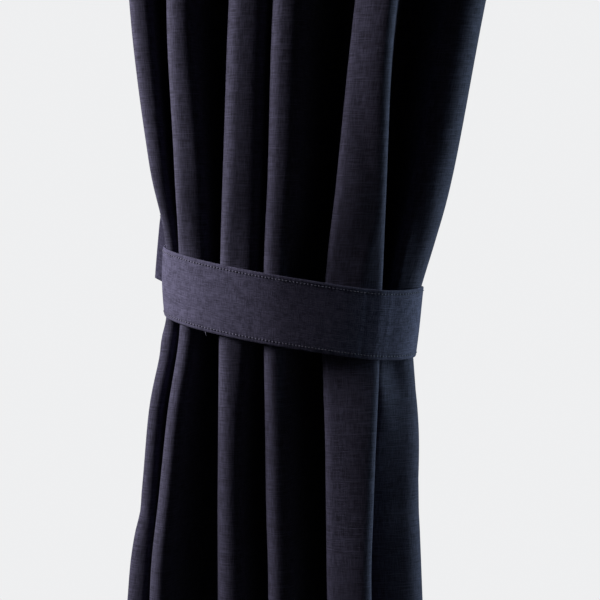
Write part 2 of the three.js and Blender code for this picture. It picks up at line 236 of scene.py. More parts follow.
# %% Ring
RING = Named(apex=-10, left=125, cup=1.5, right=140.2, taper=4.4, depth=69, middle_y=67)
RING_POWER = Named(left=1.85, right=2.5, back=4)
BAND_RISE_LEFT = 0.165
BAND_TWIST = 0.00055
BAND_END_START = 20
BAND_END_LIFT = 10.5
BAND_END_POWER = 4


def band_rise(x, y):
    """Height of the band's middle line above the waist."""
    towards_right = np.maximum(0, x - BAND_END_START) / (RING.apex + RING.right - BAND_END_START)
    return BAND_END_LIFT * towards_right ** BAND_END_POWER - BAND_RISE_LEFT * x - BAND_TWIST * x * y


def ring_half(side, level):
    """Half width of the ring on one side; level runs from -1 at the band's foot to 1 at its top."""
    return np.where(side < 0, RING.left - RING.cup * level ** 2, RING.right + RING.taper * level)


def front_power(side):
    return np.where(side < 0, RING_POWER.left, RING_POWER.right)


def ring_front_y(x, level):
    side = x - RING.apex
    power = front_power(side)
    share = np.minimum(1, np.abs(side) / ring_half(side, level))
    return RING.middle_y - RING.depth * (1 - share ** power) ** (1 / power)


print("ring", RING.left + RING.right, "mm wide and", 2 * RING.depth, "mm deep")

# %% [markdown]
# ## Noses seated in the band
#
# The band presses on every nose. Depths set by eye would leave gaps or let the cloth cut through the band,
# so points are tried round the front of each nose, and the one that reaches furthest towards the ring
# decides.

# %% Seated noses
SEAT_CLEARANCE = 1.1
SEAT_HEADINGS = np.radians(np.linspace(-90, 90, 25))
# Columns of the tables at the band's two edges, and the level of each
BAND_TOP = 4
BAND_FOOT = 5
SEAT_LEVEL = {BAND_TOP: 1, BAND_FOOT: -1}


def nose_point(heading, start, end, face, turn_left, turn_right):
    """Way from the left end of a nose's face to the point that has this heading."""
    slow = face / (end - start)
    before = np.minimum(heading, start)
    within = np.clip(heading, start, end)
    after = np.maximum(heading, end)
    x = (turn_left * (np.sin(before) - np.sin(start)) + slow * (np.sin(within) - np.sin(start))
         + turn_right * (np.sin(after) - np.sin(end)))
    y = (turn_left * (np.cos(start) - np.cos(before)) + slow * (np.cos(start) - np.cos(within))
         + turn_right * (np.cos(end) - np.cos(after)))
    return x, y


def seated_nose(fold, s, level):
    """How far back a nose stands when it clears the band."""
    share = fold.share[s]
    x, y = nose_point(SEAT_HEADINGS, fold.start[s], fold.end[s], fold.face[s],
                      fold.turn_left * share, fold.turn_right * share)
    x = x + fold.apex[s]
    clear_x = x + np.sign(x - RING.apex) * SEAT_CLEARANCE
    return np.max(ring_front_y(clear_x, level) + SEAT_CLEARANCE - y)


def complete_fold(fold):
    """Works out a fold's table rows from its edge, its face and the band."""
    edge = np.array(EDGE_X[fold.name], float)
    fold.share = 1 - (1 - fold.tied) * np.array(TIE_PULL)
    fold.face = np.array(FACE_CLOTH[fold.name], float)
    turned = np.radians(np.broadcast_to(FACE_TURN[fold.name], DROPS.shape))
    half_bow = np.radians(np.broadcast_to(FACE_BOW[fold.name], DROPS.shape)) / 2
    fold.start, fold.end = turned - half_bow, turned + half_bow
    edge_heading = np.pi / 2 if fold.name == "leading" else -np.pi / 2
    to_edge, _ = nose_point(edge_heading, fold.start, fold.end, fold.face,
                            fold.turn_left * fold.share, fold.turn_right * fold.share)
    fold.apex = edge - to_edge
    fold.back = np.array(NOSE_BACK[fold.name], float)
    for s, level in SEAT_LEVEL.items():
        fold.back[s] = seated_nose(fold, s, level)
    waist_x = edge[[BAND_TOP, BAND_FOOT]].mean()
    waist_y = fold.back[[BAND_TOP, BAND_FOOT]].mean()
    fold.waist_low = -band_rise(waist_x, waist_y)


for fold in FOLDS:
    complete_fold(fold)
print("noses stand back in the band by", [round(float(f.back[BAND_TOP]), 1) for f in FOLDS], "mm")

# %% [markdown]
# ## Folds at any drop
#
# The band rises to the left, so it ties each fold at a height of its own. Instead of a table for each
# fold, every fold reads the same ten drops, moved up or down near the waist by as much as the band is.

# %% Folds at any drop
WAIST_REACH = 220


def bell(offset, half_width):
    """A soft swell, 1 at its middle and about a third at its half width."""
    return np.exp(-(offset / half_width) ** 2)


def folds_at(drops):
    near_waist = bell(drops - WAIST_DROP, WAIST_REACH)
    rows = []
    for fold in FOLDS:
        own = drops - fold.waist_low * near_waist
        share = at_drop(fold.share, own)
        row = Named(
            x=at_drop(fold.apex, own), y=at_drop(fold.back, own), face=at_drop(fold.face, own),
            start=at_drop(fold.start, own), end=at_drop(fold.end, own), hollow=at_drop(HOLLOW_TURN, own),
            turn_left=fold.turn_left * share, turn_right=fold.turn_right * share,
            end_turn=np.radians(at_drop(LEFT_END_TURN, own)), lean=fold.lean, cloth=fold.cloth)
        row.face_x, row.face_y = nose_point(row.end, row.start, row.end, row.face,
                                            row.turn_left, row.turn_right)
        rows.append(row)
    return rows


print("folds are tied at drops of", [round(float(WAIST_DROP + f.waist_low)) for f in FOLDS], "mm")

# %% [markdown]
# ## Flanks that use up the cloth
#
# Seen from above, the cloth is a line of bends and straight flanks. Cloth does not stretch, so the flanks
# use up exactly the cloth that lies between two noses. The steeper they stand, the closer the noses come.
# No plain formula gives the angle that fits, so it is found by halving a range.

# %% Flanks
# Angles between which the flanks' angle is sought, in radians
FLATTEST = 0.3
STEEPEST = 2.3
HALVINGS = 50


def flanks(a, b, angle):
    """The two flanks between the folds a and b, and how far they reach."""
    out, back = angle - a.lean, angle + a.lean
    turns = a.turn_right * (out - a.end) + a.hollow * (out + back) + b.turn_left * (back + b.start)
    straight = a.cloth - a.face - turns
    turns_y = (a.turn_right * (np.cos(a.end) - np.cos(out)) + a.hollow * (np.cos(back) - np.cos(out))
               + b.turn_left * (np.cos(back) - np.cos(b.start)))
    turns_x = (a.turn_right * (np.sin(out) - np.sin(a.end)) + a.hollow * (np.sin(out) + np.sin(back))
               + b.turn_left * (np.sin(back) + np.sin(b.start)))
    span_y = b.y - a.y - a.face_y
    first = (span_y - turns_y + straight * np.sin(back)) / (np.sin(out) + np.sin(back))
    second = straight - first
    reach = turns_x + first * np.cos(out) + second * np.cos(back)
    return Named(out=out, back=back, first=first, second=second, reach=reach)


def hollow_between(a, b):
    span_x = b.x - a.x - a.face_x
    low = np.full_like(span_x, FLATTEST)
    high = np.full_like(span_x, STEEPEST)
    for _ in range(HALVINGS):
        middle = (low + high) / 2
        too_wide = flanks(a, b, middle).reach > span_x
        low = np.where(too_wide, middle, low)
        high = np.where(too_wide, high, middle)
    return flanks(a, b, low)


top_folds = folds_at(np.zeros(1))
top_angles = [hollow_between(a, b).out[0] for a, b in zip(top_folds[:-1], top_folds[1:])]
print("flanks at the top edge stand at", np.degrees(top_angles).round().tolist(), "degrees")

# %% [markdown]
# ## One section of the hung cloth
#
# A section lists its stretches from the outer edge to the leading edge, each with its length and its bend.
# Walking along them arc by arc gives the place of any point of the cloth. A drawn curve would be quicker,
# but it would not keep the length of the cloth.

# %% Stretches of a section
RIGHT_END_TURN = np.radians(104)


def section_stretches(folds):
    """Length and bend of each stretch."""
    first, last = folds[0], folds[-1]
    zero = np.zeros_like(first.x)
    end_bend = first.end_turn + first.start
    end_turn = first.turn_left * end_bend
    stretches = [(LEFT_END_CLOTH - end_turn, zero), (end_turn, end_bend)]
    for a, b in zip(folds[:-1], folds[1:]):
        hollow = hollow_between(a, b)
        stretches += [
            (a.face, a.end - a.start),
            (a.turn_right * (hollow.out - a.end), hollow.out - a.end),
            (hollow.first, zero),
            (a.hollow * hollow.out, -hollow.out),
            (a.hollow * hollow.back, -hollow.back),
            (hollow.second, zero),
            (b.turn_left * (hollow.back + b.start), hollow.back + b.start),
        ]
    last_bend = RIGHT_END_TURN - last.end
    stretches += [(last.face, last.end - last.start), (last.turn_right * last_bend, last_bend),
                  (zero + CLOTH_WIDTH, zero)]
    lengths = np.stack([s[0] for s in stretches], axis=1)
    bends = np.stack([s[1] for s in stretches], axis=1)
    return lengths, bends


print("a section has", section_stretches(top_folds)[0].shape[1], "stretches")

# %% Points of a section
# Bends and lengths below these count as none
STRAIGHT_BEND = 1e-7
SHORTEST_STRETCH = 1e-6


def arc_step(heading, bend_rate, distance):
    """Way made along an arc, or along a line where it hardly bends."""
    bent = np.abs(bend_rate) > STRAIGHT_BEND
    rate = np.where(bent, bend_rate, 1)
    end = heading + bend_rate * distance
    x = np.where(bent, (np.sin(end) - np.sin(heading)) / rate, np.cos(heading) * distance)
    y = np.where(bent, (np.cos(heading) - np.cos(end)) / rate, np.sin(heading) * distance)
    return x, y


def hung_sections(drops, across):
    """X and Y of the cloth for each drop and each distance across the cloth."""
    folds = folds_at(drops)
    first = folds[0]
    end_length = LEFT_END_CLOTH - first.turn_left * (first.end_turn + first.start)
    turn_x = first.turn_left * (np.sin(first.start) + np.sin(first.end_turn))
    turn_y = first.turn_left * (np.cos(first.end_turn) - np.cos(first.start))
    start_x = first.x - turn_x - end_length * np.cos(first.end_turn)
    start_y = first.y - turn_y + end_length * np.sin(first.end_turn)
    lengths, bends = section_stretches(folds)
    rates = np.divide(bends, lengths, out=np.zeros_like(bends), where=lengths > SHORTEST_STRETCH)
    starts = np.cumsum(lengths, axis=1) - lengths
    headings = np.cumsum(bends, axis=1) - bends - first.end_turn[:, None]
    step_x, step_y = arc_step(headings, rates, lengths)
    corner_x = start_x[:, None] + np.cumsum(step_x, axis=1) - step_x
    corner_y = start_y[:, None] + np.cumsum(step_y, axis=1) - step_y
    x = np.empty((len(drops), len(across)))
    y = np.empty_like(x)
    for r in range(len(drops)):
        j = np.clip(np.searchsorted(starts[r], across, side="right") - 1, 0, lengths.shape[1] - 1)
        way_x, way_y = arc_step(headings[r, j], rates[r, j], across - starts[r, j])
        x[r] = corner_x[r, j] + way_x
        y[r] = corner_y[r, j] + way_y
    return x, y


sample_x, _ = hung_sections(np.array([0, WAIST_DROP]), np.arange(CLOTH_WIDTH + 1))
print("the cloth hangs", np.ptp(sample_x, axis=1).round().tolist(), "mm wide at the top edge and the waist")

# %% [markdown]
# ## The whole hung sheet
#
# Arcs and lines meet with a jump in their bend, which shows as a hard line in the shade. Real cloth eases
# from one into the other, so the sections are worked out on a dense grid and softened along both ways of
# the cloth. Threads that the tie draws aside have further to go, so they end a little higher at the hem.

# %% Dense sheet
ACROSS_STEP = 1
DOWN_STEP = 4
SOFTEN_ACROSS = 1.7
SOFTEN_DOWN = 9
# How many spreads the softening reaches each way
SOFTEN_REACH = 3

across = np.arange(0, CLOTH_WIDTH + ACROSS_STEP, ACROSS_STEP, dtype=float)
down = np.arange(0, CLOTH_LENGTH + DOWN_STEP, DOWN_STEP, dtype=float)


def softened(values, spread, axis):
    """Each value averaged with its neighbours, and carried on evenly past the edges."""
    reach = int(np.ceil(SOFTEN_REACH * spread))
    weights = np.exp(-0.5 * (np.arange(-reach, reach + 1) / spread) ** 2)
    weights /= weights.sum()
    pad = [(0, 0), (0, 0)]
    pad[axis] = (reach, reach)
    padded = np.pad(values, pad, mode="reflect", reflect_type="odd")
    count = values.shape[axis]
    return sum(w * np.take(padded, range(k, k + count), axis=axis) for k, w in enumerate(weights))


def soften_sheet(values):
    return softened(softened(values, SOFTEN_ACROSS / ACROSS_STEP, axis=1), SOFTEN_DOWN / DOWN_STEP, axis=0)


def smooth_share(value, low, high):
    t = np.clip((value - low) / (high - low), 0, 1)
    return t * t * (3 - 2 * t)


sheet_x, sheet_y = (soften_sheet(v) for v in hung_sections(down, across))
aside = np.hypot(np.diff(sheet_x, axis=0), np.diff(sheet_y, axis=0))
slack = (aside ** 2 / (2 * DOWN_STEP)).sum(axis=0)
sheet_z = slack * smooth_share(down, WAIST_DROP, CLOTH_LENGTH)[:, None] - down[:, None]
print("hem drawn up by", round(float(slack.min()), 1), "to", round(float(slack.max()), 1), "mm")

# %% [markdown]
# ## Creases
#
# Near the tie the cloth is pinched, and its broad faces dip and swell a little. They could be sculpted by
# hand. Here each crease is a soft trough or ridge on a fold: how far past the nose, at what drop, how wide
# and long it is, how it slants and how deep it is. A positive depth stands out of the cloth and a negative
# one dips.

# %% Creases
# Where the middle of the waist lies in the frame, seen from above
WAIST_SHIFT = np.array([-112, -52, 0])


def crease(fold, past_nose, drop, half_width, half_length, slant, depth):
    return Named(across=nose_cloth[fold] + past_nose, drop=drop, half_width=half_width,
                 half_length=half_length, slant=np.radians(slant), depth=depth)


CREASES = [
    crease("broad", past_nose=18, drop=1285, half_width=10, half_length=60, slant=12, depth=-1.0),
    crease("broad", past_nose=36, drop=1390, half_width=9, half_length=50, slant=-8, depth=1.2),
    crease("leading", past_nose=-6, drop=1395, half_width=9, half_length=42, slant=6, depth=2.2),
    crease("leading", past_nose=-5, drop=1532, half_width=9, half_length=40, slant=17, depth=3),
    crease("leading", past_nose=17, drop=1524, half_width=10, half_length=28, slant=20, depth=-2.6),
    crease("leading", past_nose=40, drop=1676, half_width=16, half_length=13, slant=0, depth=-2.2),
    crease("leading", past_nose=36, drop=1610, half_width=16, half_length=34, slant=0, depth=1.2),
    crease("leading", past_nose=45, drop=1680, half_width=10, half_length=170, slant=0, depth=2.2),
    crease("leading", past_nose=30, drop=1340, half_width=12, half_length=30, slant=14, depth=-1.2),
    crease("outer", past_nose=-8, drop=1672, half_width=12, half_length=14, slant=0, depth=-1.8),
    crease("outer", past_nose=-12, drop=1492, half_width=14, half_length=14, slant=0, depth=2.2),
    crease("second", past_nose=10, drop=1395, half_width=6, half_length=45, slant=4, depth=1.0),
    crease("second", past_nose=-1, drop=1650, half_width=6, half_length=140, slant=0, depth=0.8),
    crease("third", past_nose=18, drop=1400, half_width=7, half_length=45, slant=-5, depth=0.5),
    crease("fourth", past_nose=14, drop=1540, half_width=6, half_length=55, slant=5, depth=-1.0),
]


def front_normals(x, y, z):
    along = np.stack([np.gradient(v, axis=1) for v in (x, y, z)], axis=-1)
    fall = np.stack([np.gradient(v, axis=0) for v in (x, y, z)], axis=-1)
    normals = np.cross(fall, along)
    return normals / np.linalg.norm(normals, axis=-1, keepdims=True)


def crease_depth(c):
    side = across[None, :] - c.across
    fall = down[:, None] - c.drop
    off = side * np.cos(c.slant) - fall * np.sin(c.slant)
    along = side * np.sin(c.slant) + fall * np.cos(c.slant)
    return c.depth * np.exp(-(off / c.half_width) ** 2 - (along / c.half_length) ** 2)


lift = sum(crease_depth(c) for c in CREASES)
normals = front_normals(sheet_x, sheet_y, sheet_z)
sheet = np.stack([sheet_x, sheet_y, sheet_z], axis=-1) + normals * lift[..., None] + WAIST_SHIFT
print(len(CREASES), "creases, the deepest", round(float(np.abs(lift).max()), 1), "mm")

# %% [markdown]
# ## Columns and rows of the panel
#
# The dense sheet has far more points than the panel needs. An even choice of them would be too coarse on
# the tight bends, so columns crowd at the noses, at the hollows and at the rim of the broad fold, and rows
# crowd at the waist, where the shape changes fastest.

# %% Columns and rows
COLUMN_COUNT = 272
ROW_COUNT = 176
COLUMN_BASE = 0.5
ROW_BASE = 1
RIM_CLOTH = 44
AT_NOSE = Named(weight=1.4, half_width=26)
AT_HOLLOW = Named(weight=0.5, half_width=20)
AT_RIM = Named(weight=2, half_width=14)
NEAR_WAIST = Named(weight=2.4, half_width=330)
AT_BAND = Named(weight=2, half_width=110)


def density_near(places, spot, near):
    return near.weight * bell(places - spot, near.half_width)


def crowded(places, count, density):
    """Indices of about this many places, closer together where the density is higher."""
    total = np.cumsum(density)
    wanted = np.linspace(total[0], total[-1], count)
    return np.unique(np.round(np.interp(wanted, total, np.arange(len(places)))).astype(int))


hollow_cloth = [nose_cloth[f.name] + f.cloth / 2 for f in FOLDS[:-1]]
column_density = COLUMN_BASE + sum(density_near(across, u, AT_NOSE) for u in nose_cloth.values())
column_density += sum(density_near(across, u, AT_HOLLOW) for u in hollow_cloth)
column_density += density_near(across, nose_cloth["broad"] + RIM_CLOTH, AT_RIM)
row_density = ROW_BASE + density_near(down, WAIST_DROP, NEAR_WAIST) + density_near(down, WAIST_DROP, AT_BAND)
columns = crowded(across, COLUMN_COUNT, column_density)
rows = crowded(down, ROW_COUNT, row_density)
print("panel grid", len(columns), "columns x", len(rows), "rows")

# %% [markdown]
# ## Curtain panel
#
# The panel starts as a flat grid, as the cloth leaves the cutting table, and each of its points is put
# where it hangs. The grid's own UV map keeps each point's place in the flat cloth, so the weave follows
# the cloth and not the space around it. The strap is made from a grid in the same way, so the two steps
# are helpers.

# %% Curtain panel
# Millimetres of cloth in one unit of the UV map
UV_SPAN = CLOTH_LENGTH


def grid_piece(name, column_total, row_total):
    """A unit grid, and the column and row of each of its points."""
    bpy.ops.object.select_all(action="DESELECT")
    bpy.ops.mesh.primitive_grid_add(x_subdivisions=column_total - 1, y_subdivisions=row_total - 1, size=1)
    piece = bpy.context.object
    piece.name = name
    piece.data.name = name
    flat = np.empty(len(piece.data.vertices) * 3)
    piece.data.vertices.foreach_get("co", flat)
    flat = flat.reshape(-1, 3)
    column = np.round((flat[:, 0] + 0.5) * (column_total - 1)).astype(int)
    row = np.round((0.5 - flat[:, 1]) * (row_total - 1)).astype(int)
    return piece, column, row


def place_points(piece, points, uv):
    """Moves a piece's points, given in millimetres, and writes each point's place in the flat cloth."""
    mesh = piece.data
    mesh.vertices.foreach_set("co", (points * MM).ravel())
    mesh.uv_layers[0].name = "cloth"
    corner = np.empty(len(mesh.loops), int)
    mesh.loops.foreach_get("vertex_index", corner)
    mesh.uv_layers[0].data.foreach_set("uv", uv[corner].ravel())
    mesh.update()


panel, panel_column, panel_row = grid_piece("curtain_cloth", len(columns), len(rows))
panel_across = across[columns][panel_column]
panel_down = down[rows][panel_row]
place_points(panel, sheet[rows][:, columns][panel_row, panel_column],
             np.stack([panel_across, CLOTH_LENGTH - panel_down], axis=1) / UV_SPAN)
print("curtain panel", len(panel.data.polygons), "faces on one side")

# %% [markdown]
# ## Thickness and hems
#
# Turned hems run along all four edges and make the cloth thicker there. A Solidify modifier gives the
# sheet its two sides, and a vertex group tells it to leave the plain cloth thinner than the hems. Sewing
# folded strips to the edges would cost many more faces and look the same.

# %% Thickness and hems
CLOTH_THICKNESS = 1.5
PLAIN_SHARE = 0.6
SIDE_HEM = 25
FOOT_HEM = 80
TOP_HEM = 60


def select_only(piece):
    bpy.ops.object.select_all(action="DESELECT")
    piece.select_set(True)
    bpy.context.view_layer.objects.active = piece


def apply_modifiers(piece):
    select_only(piece)
    for modifier in list(piece.modifiers):
        bpy.ops.object.modifier_apply(modifier=modifier.name)


in_hem = ((np.minimum(panel_across, CLOTH_WIDTH - panel_across) < SIDE_HEM)
          | (panel_down < TOP_HEM) | (panel_down > CLOTH_LENGTH - FOOT_HEM))
hem_group = panel.vertex_groups.new(name="hem")
hem_group.add(np.flatnonzero(in_hem).tolist(), 1, "REPLACE")
hem_group.add(np.flatnonzero(~in_hem).tolist(), PLAIN_SHARE, "REPLACE")

thicken = panel.modifiers.new("thickness", "SOLIDIFY")
thicken.thickness = CLOTH_THICKNESS / PLAIN_SHARE * MM
thicken.offset = 0
thicken.vertex_group = "hem"
apply_modifiers(panel)
bpy.ops.object.shade_smooth()
print("curtain panel", len(panel.data.polygons), "faces, hems", CLOTH_THICKNESS / PLAIN_SHARE, "mm thick")

# %% [markdown]
# ## Path of the band
#
# The strap starts behind the left side, runs round the front and the right side, and goes straight on
# behind the folds until its free end shows past the left side, a little raised and bent back. A curve
# object could follow this way, but the strap twists as it goes, so each level across its width has a path
# of its own.

# %% Band path
BAND_THICKNESS = 2.2
RING_CLEARANCE = 0.1
# The path follows the strap's outer face
BAND_OUTWARD = BAND_THICKNESS + RING_CLEARANCE
END_CLEARANCE = 1
FREE_END_X = -152
FREE_END_SLANT = 3.5
FREE_END_LIFT = 23
FREE_END_LIFT_POWER = 1.4
FREE_END_BEND = Named(x=-119, reach=32, back=6)
PATH_STEPS = Named(side=60, ring=1200, tail=120)


def ring_point(heading, level):
    """The point of the ring that faces this way; heading 0 is the front and 90 degrees the right."""
    to_side, forward = np.sin(heading), np.cos(heading)
    half = ring_half(to_side, level)
    power = np.where(forward < 0, RING_POWER.back, front_power(to_side))
    out_x = np.abs(half * to_side) ** (1 / (power - 1))
    out_y = np.abs(RING.depth * forward) ** (1 / (power - 1))
    size = (out_x ** power + out_y ** power) ** (1 / power)
    x = RING.apex + np.sign(to_side) * half * out_x / size
    y = RING.middle_y - np.sign(forward) * RING.depth * out_y / size
    return x, y


def band_path(level):
    """Dense points along the strap's outer face at one level, and the way each one faces."""
    back_y = RING.middle_y + RING.depth + BAND_OUTWARD
    side_end_y = back_y - BAND_OUTWARD - END_CLEARANCE
    side_y = np.linspace(side_end_y, RING.middle_y, PATH_STEPS.side, endpoint=False)
    heading = np.linspace(-np.pi / 2, np.pi, PATH_STEPS.ring)
    ring_x, ring_y = ring_point(heading, level)
    tail = np.linspace(0, 1, PATH_STEPS.tail + 1)[1:]
    tail_x = RING.apex + tail * (FREE_END_X + FREE_END_SLANT * (1 + level) - RING.apex)
    bent = np.maximum(0, FREE_END_BEND.x - tail_x) / FREE_END_BEND.reach
    tail_turn = np.pi - np.arctan(2 * FREE_END_BEND.back * bent / FREE_END_BEND.reach)
    x = np.concatenate([np.full_like(side_y, RING.apex - ring_half(-1, level) - BAND_OUTWARD),
                        ring_x + np.sin(heading) * BAND_OUTWARD, tail_x])
    y = np.concatenate([side_y, ring_y - np.cos(heading) * BAND_OUTWARD,
                        back_y + FREE_END_BEND.back * bent ** 2])
    turn = np.concatenate([np.full_like(side_y, -np.pi / 2), heading, tail_turn])
    raised = np.concatenate([np.zeros(len(side_y) + len(heading)),
                             FREE_END_LIFT * tail ** FREE_END_LIFT_POWER])
    z = raised - WAIST_DROP + band_rise(x, y) + level * BAND_HEIGHT / 2
    facing = np.stack([np.sin(turn), -np.cos(turn), np.zeros_like(turn)], axis=-1)
    return np.stack([x, y, z], axis=-1), facing


middle_line, _ = band_path(0)
path_way = np.concatenate([[0], np.cumsum(np.linalg.norm(np.diff(middle_line, axis=0), axis=1))])
BAND_LENGTH = path_way[-1]
print("band length", round(float(BAND_LENGTH)), "mm")

# %% [markdown]
# ## Relief of the band
#
# The strap is two layers of the same cloth, turned out and stitched down along both long edges. The
# stitches pull its face in and pucker it, its edges roll over, and soft upright creases cross its front.
# Bump in the finish could show this too, but real relief also shapes the edges and stays in the mesh.

# %% Band relief
STITCH_INSET = 4.3
STITCH_PITCH = 3.5
STITCH_LINE = BAND_HEIGHT / 2 - STITCH_INSET
STITCH_DIP = Named(depth=0.18, half_width=1.1)
PUCKER = Named(depth=0.14, half_width=2.2)
EDGE_ROLL = Named(height=0.06, past_stitch=2.4, half_width=1.4)
EDGE_CURL = Named(slope=0.5, past_stitch=3)
BAND_CREASES = [
    Named(front_x=-12, half_width=42, depth=2),
    Named(front_x=72, half_width=3, depth=-0.25),
    Named(front_x=86, half_width=6, depth=0.5),
    Named(front_x=101, half_width=9, depth=-0.5),
    Named(front_x=96, half_width=2.5, depth=0.2),
    Named(front_x=123, half_width=12, depth=0.8),
    Named(front_x=-118, half_width=6, depth=-0.4),
]
BAND_WAVES = [Named(height=0.35, length=47, slant=2), Named(height=0.25, length=21, slant=-1.5)]
in_front = np.abs(middle_line[:, 1] - middle_line[:, 1].min()) < RING.depth
front_order = np.argsort(middle_line[in_front, 0])


def along_at_front(x):
    """Distance along the strap to the place on its front that has this X."""
    return np.interp(x, middle_line[in_front, 0][front_order], path_way[in_front][front_order])


def band_relief(along, level):
    """How far the strap's face stands out."""
    from_stitch = abs(level) * BAND_HEIGHT / 2 - STITCH_LINE
    dip = -STITCH_DIP.depth * bell(from_stitch, STITCH_DIP.half_width)
    roll = EDGE_ROLL.height * bell(from_stitch - EDGE_ROLL.past_stitch, EDGE_ROLL.half_width)
    curl = -EDGE_CURL.slope * max(0, from_stitch - EDGE_CURL.past_stitch)
    pucker = PUCKER.depth * np.cos(2 * np.pi * along / STITCH_PITCH) * bell(from_stitch, PUCKER.half_width)
    soft = sum(c.depth * bell(along - along_at_front(c.front_x), c.half_width) for c in BAND_CREASES)
    wave = sum(w.height * np.sin(along / w.length + w.slant * level) for w in BAND_WAVES)
    return dip + roll + curl + pucker + soft + wave


middle_relief = band_relief(path_way, 0).round(1)
print("relief along the strap's middle", middle_relief.min(), "to", middle_relief.max(), "mm")

# %% [markdown]
# ## Tieback strap
#
# The strap is a long grid laid along the path, with its rows close together at the stitches and the edges.
# Solidify gives it its thickness, towards the folds, and a small bevel takes the hardness off its edges.

# %% Tieback strap
BAND_COLUMNS = 690
# Distance of each row from the strap's middle
HALF_ROWS = [0, 6, 12, 18, 24, 28, 30, 31, 31.7, 32.4, 33.2, 34.2, 35, 35.6, 36]
EDGE_ROUND = 0.5
EDGE_ANGLE = 50


def on_band(along, level, out):
    """Points this far out of the strap's face, at these distances along it, and the way they face."""
    points, facing = band_path(level)
    place = np.stack([np.interp(along, path_way, points[:, k]) for k in range(3)], axis=-1)
    face = np.stack([np.interp(along, path_way, facing[:, k]) for k in range(3)], axis=-1)
    face /= np.linalg.norm(face, axis=-1, keepdims=True)
    return place + face * np.reshape(out, (-1, 1)), face


levels_up = np.array([-h for h in HALF_ROWS[:0:-1]] + HALF_ROWS) / (BAND_HEIGHT / 2)
band_levels = levels_up[::-1]
band_along = np.linspace(0, BAND_LENGTH, BAND_COLUMNS)
band, band_column, band_row = grid_piece("tieback_strap", BAND_COLUMNS, len(band_levels))
band_points = np.stack([on_band(band_along, level, band_relief(band_along, level))[0]
                        for level in band_levels])
band_uv = np.stack([band_along[band_column],
                    (band_levels[band_row] + 1) * BAND_HEIGHT / 2], axis=1) / UV_SPAN
place_points(band, band_points[band_row, band_column] + WAIST_SHIFT, band_uv)

strap_thickness = band.modifiers.new("thickness", "SOLIDIFY")
strap_thickness.thickness = BAND_THICKNESS * MM
strap_thickness.offset = -1
soft_edge = band.modifiers.new("soft_edge", "BEVEL")
soft_edge.width = EDGE_ROUND * MM
soft_edge.segments = 2
soft_edge.limit_method = "ANGLE"
soft_edge.angle_limit = np.radians(EDGE_ANGLE)
apply_modifiers(band)
bpy.ops.object.shade_smooth()
print("tieback strap", len(band.data.polygons), "faces")

# %% [markdown]
# ## Stitches
#
# Each row of machine stitches is a line of short thread loops that sink a little into the cloth. A
# bevelled curve could draw them, but a small flattened ball for each stitch takes fewer faces. One ball is
# modelled, one unit across, and its copies are stretched along the strap and kept in one mesh.

# %% Stitches
STITCH_LENGTH = 2.3
STITCH_WIDTH = 1.1
STITCH_HEIGHT = 1.0
STITCH_OUT = 0.2
# Step along the strap that shows which way a stitch runs
LOOK_AHEAD = 0.5
SORT_DIGITS = 5

bpy.ops.object.select_all(action="DESELECT")
bpy.ops.mesh.primitive_uv_sphere_add(segments=8, ring_count=5, radius=0.5)
stitches = bpy.context.object
stitches.name = "tieback_stitches"
ball_mesh = stitches.data
ball = np.array([v.co for v in ball_mesh.vertices])

# The operator lists points and faces in no fixed order, so they are sorted by place
order = np.lexsort(ball.round(SORT_DIGITS).T)
ball = ball[order]
rank = np.argsort(order)
corners = [rank[list(p.vertices)] for p in ball_mesh.polygons]
ball_faces = sorted(np.roll(c, -np.argmin(c)).tolist() for c in corners)
stitch_along = np.arange(STITCH_PITCH, BAND_LENGTH - STITCH_PITCH / 2, STITCH_PITCH)


def stitch_row(level):
    """The points of every stitch along one row."""
    out = band_relief(stitch_along, level) + STITCH_OUT
    seat, face = on_band(stitch_along, level, out)
    ahead, _ = on_band(stitch_along + LOOK_AHEAD, level, out)
    run = (ahead - seat) / np.linalg.norm(ahead - seat, axis=1, keepdims=True)
    rise = np.cross(face, run)
    return (seat[:, None] + ball[:, :1] * STITCH_LENGTH * run[:, None]
            + ball[:, 1:2] * STITCH_WIDTH * rise[:, None] + ball[:, 2:] * STITCH_HEIGHT * face[:, None])


stitch_level = STITCH_LINE / (BAND_HEIGHT / 2)
stitch_points = np.concatenate([stitch_row(stitch_level), stitch_row(-stitch_level)])
stitch_faces = [[k * len(ball) + v for v in face] for k in range(len(stitch_points)) for face in ball_faces]
stitches.data = bpy.data.meshes.new("tieback_stitches")
stitches.data.from_pydata(((stitch_points.reshape(-1, 3) + WAIST_SHIFT) * MM).tolist(), [], stitch_faces)
bpy.data.meshes.remove(ball_mesh)
bpy.ops.object.shade_smooth()
print(len(stitch_points), "stitches")

# %% [markdown]
# ## Loose thread end
#
# A short thread end was left hanging from the lower row, as it often is. A curve with a round bevel is the
# natural way to make a thread. It is turned into a mesh and joined to the stitches.

# %% Loose thread end
THREAD_END_X = -90
# Each point's way to the right, out of the strap and up
THREAD_END_POINTS = [(0, 0.4, 0), (-0.5, 1.0, -1.4), (0.4, 1.4, -2.8), (1.3, 1.2, -4)]
THREAD_RADIUS = 0.25

